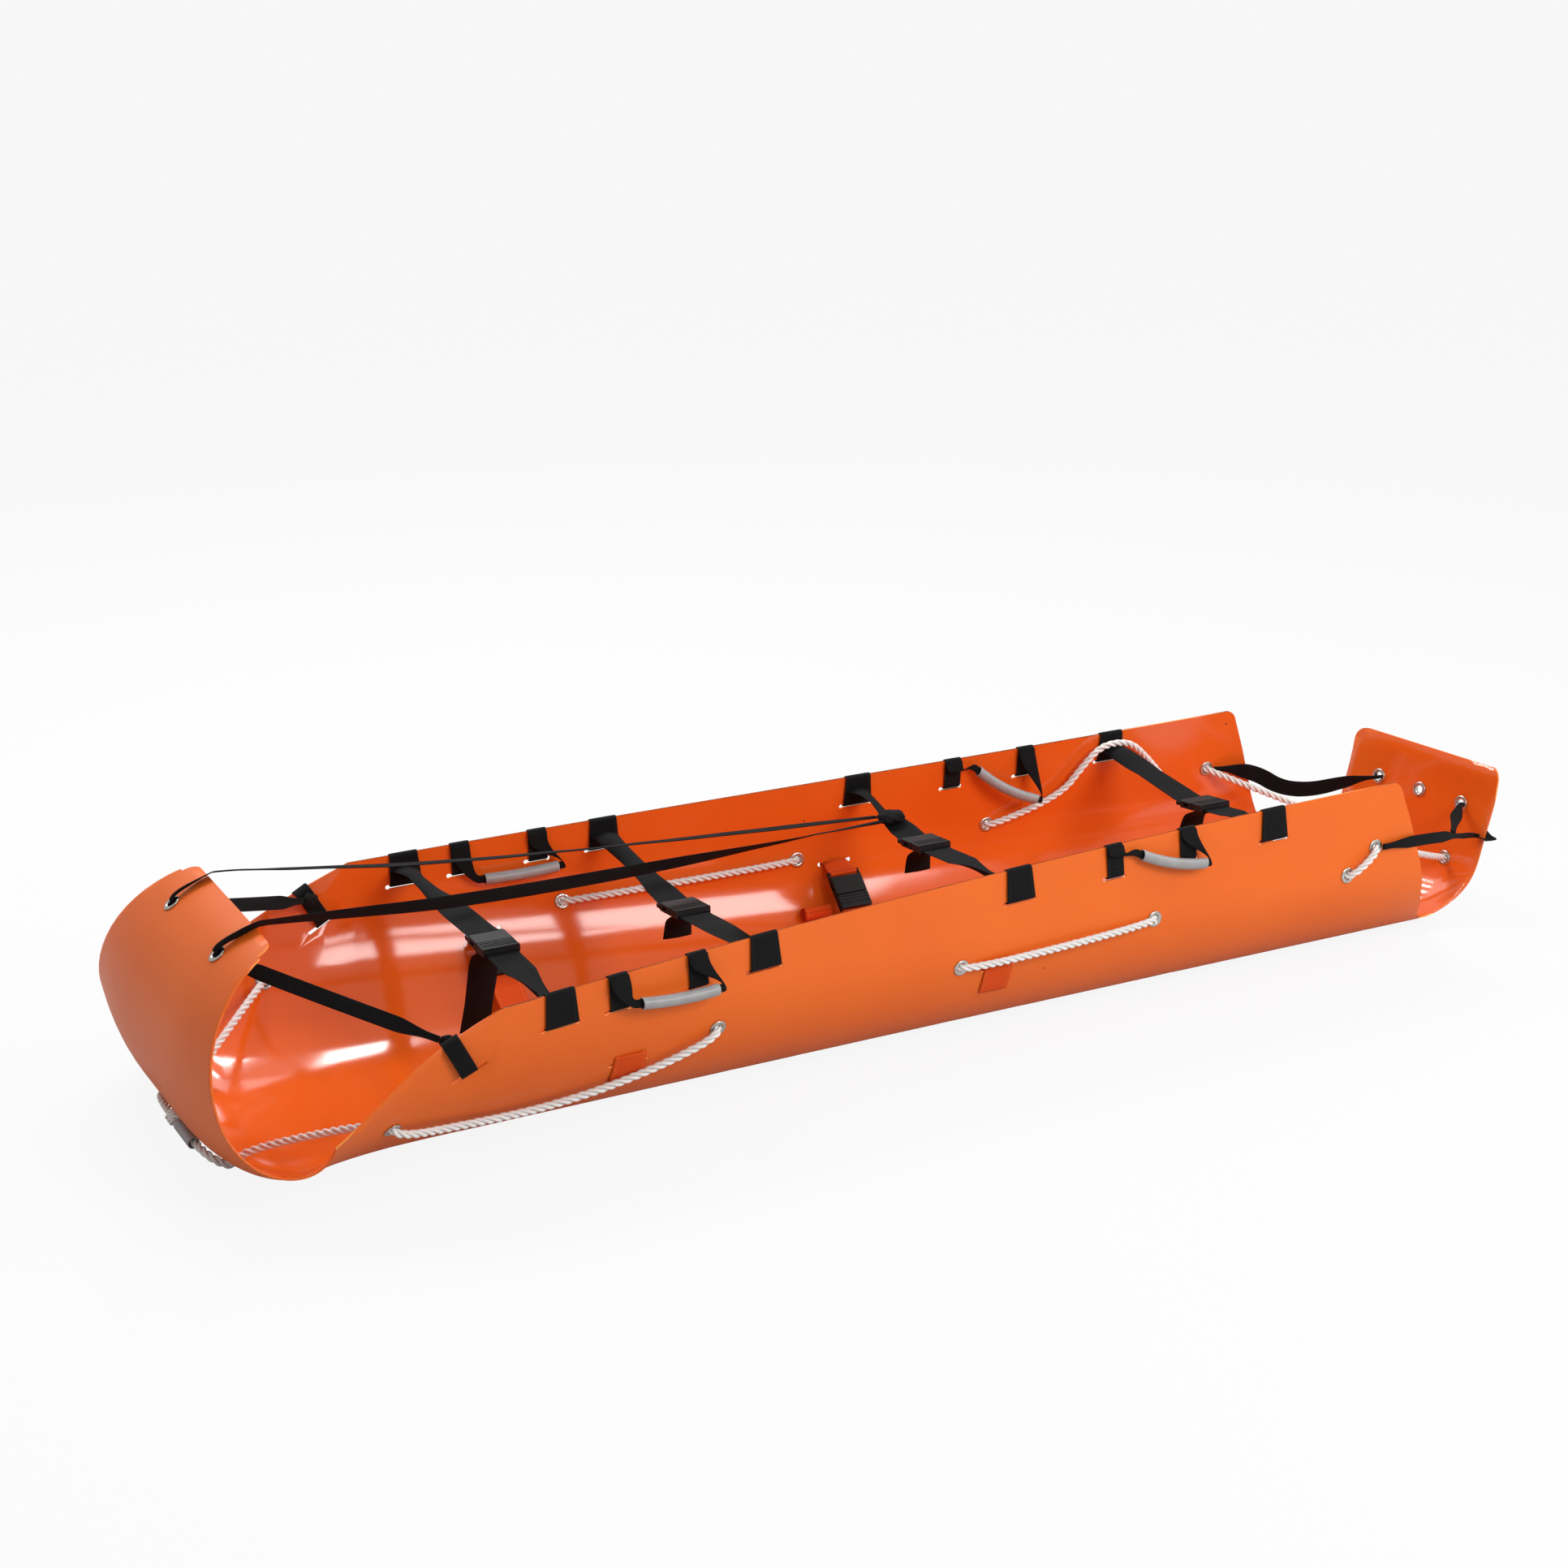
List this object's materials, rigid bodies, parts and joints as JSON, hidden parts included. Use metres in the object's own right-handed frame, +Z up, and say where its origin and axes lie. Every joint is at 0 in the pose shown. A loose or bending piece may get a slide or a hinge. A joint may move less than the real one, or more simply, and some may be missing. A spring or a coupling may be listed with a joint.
{
  "type": "rescue stretcher",
  "caption": "Roll-up drag stretcher in use: a curved plastic sheet forms a trough with a curled end and a folded end flap, laced with rope, with webbing straps, buckles and carry handles.",
  "frame": {"origin": "on the floor under the middle of the trough", "axes": "+X along the trough from the curl to the end flap, +Y from the near wall to the far wall, +Z up"},
  "size_m": [2.2422, 0.6694, 0.3508],
  "materials": {
    "sheet": "satin polyethylene sheet",
    "grommet": "nickel plated",
    "rope": "laid three-strand rope",
    "tube": "cloudy vinyl tube",
    "buckle": "moulded",
    "black_webbing": "woven webbing",
    "orange_webbing": "woven webbing",
    "tie": "woven narrow webbing"
  },
  "bodies": {
    "sheet_body": {"end_strap_far": "tie", "end_strap_near": "tie", "grommets_curl": "grommet", "grommets_far": "grommet", "grommets_flap": "grommet", "grommets_near": "grommet", "handle_loops_1_far": "black_webbing", "handle_loops_1_near": "black_webbing", "handle_loops_2_far": "black_webbing", "handle_loops_2_near": "black_webbing", "roll_coil": "orange_webbing", "roll_socket_1": "buckle", "roll_socket_2": "buckle", "roll_strap_1_far": "orange_webbing", "roll_strap_1_near": "orange_webbing", "roll_strap_2_far": "orange_webbing", "roll_strap_2_near": "orange_webbing", "rope_far": "rope", "rope_near": "rope", "sheet": "sheet", "socket_1": "buckle", "socket_2": "buckle", "socket_3": "buckle", "socket_4": "buckle", "strap_1_far": "black_webbing", "strap_1_near": "black_webbing", "strap_2_far": "black_webbing", "strap_2_near": "black_webbing", "strap_3_far": "black_webbing", "strap_3_near": "black_webbing", "strap_4_far": "black_webbing", "strap_4_near": "black_webbing", "tie_far": "tie", "tie_knot": "tie", "tie_near": "tie", "tie_ring_far": "tie", "tie_ring_near": "tie", "tow_knot": "rope", "tow_tube": "tube"},
    "grip_1_far_body": {"handle_grip_1_far": "black_webbing", "handle_tube_1_far": "tube"},
    "grip_1_near_body": {"handle_grip_1_near": "black_webbing", "handle_tube_1_near": "tube"},
    "grip_2_far_body": {"handle_grip_2_far": "black_webbing", "handle_tube_2_far": "tube"},
    "grip_2_near_body": {"handle_grip_2_near": "black_webbing", "handle_tube_2_near": "tube"},
    "plug_1_body": {"plug_1": "buckle", "strap_tail_1": "black_webbing"},
    "plug_2_body": {"plug_2": "buckle", "strap_tail_2": "black_webbing"},
    "plug_3_body": {"plug_3": "buckle", "strap_tail_3": "black_webbing"},
    "plug_4_body": {"plug_4": "buckle", "strap_tail_4": "black_webbing"},
    "roll_plug_1_body": {"roll_plug_1": "buckle"},
    "roll_plug_2_body": {"roll_plug_2": "buckle"}
  },
  "joints": [
    {"name": "plug_1_slide", "type": "slide", "parent": "sheet_body", "child": "plug_1_body", "axis": [0, -0.9996, -0.0276], "range_m": [0, 0.03]},
    {"name": "plug_2_slide", "type": "slide", "parent": "sheet_body", "child": "plug_2_body", "axis": [0, -0.9948, 0.1021], "range_m": [0, 0.03]},
    {"name": "plug_3_slide", "type": "slide", "parent": "sheet_body", "child": "plug_3_body", "axis": [0, -0.9957, 0.0925], "range_m": [0, 0.03]},
    {"name": "plug_4_slide", "type": "slide", "parent": "sheet_body", "child": "plug_4_body", "axis": [0, -0.991, 0.1342], "range_m": [0, 0.03]},
    {"name": "roll_plug_1_slide", "type": "slide", "parent": "sheet_body", "child": "roll_plug_1_body", "axis": [0, -0.7933, -0.6088], "range_m": [0, 0.03]},
    {"name": "roll_plug_2_slide", "type": "slide", "parent": "sheet_body", "child": "roll_plug_2_body", "axis": [0, -0.7196, -0.6944], "range_m": [0, 0.03]},
    {"name": "grip_1_near_hinge", "type": "hinge", "parent": "sheet_body", "child": "grip_1_near_body", "pos_m": [-0.4755, -0.287, 0.25921], "axis": [-0.9951, -0.0893, -0.0426], "range_deg": [0, 150]},
    {"name": "grip_1_far_hinge", "type": "hinge", "parent": "sheet_body", "child": "grip_1_far_body", "pos_m": [-0.4755, 0.287, 0.25921], "axis": [-0.9951, 0.0893, -0.0426], "range_deg": [0, 150]},
    {"name": "grip_2_near_hinge", "type": "hinge", "parent": "sheet_body", "child": "grip_2_near_body", "pos_m": [0.3705, -0.2293, 0.28484], "axis": [-0.9989, -0.0416, -0.0218], "range_deg": [0, 150]},
    {"name": "grip_2_far_hinge", "type": "hinge", "parent": "sheet_body", "child": "grip_2_far_body", "pos_m": [0.3705, 0.2293, 0.28484], "axis": [-0.9989, 0.0416, -0.0218], "range_deg": [0, 150]}
  ]
}
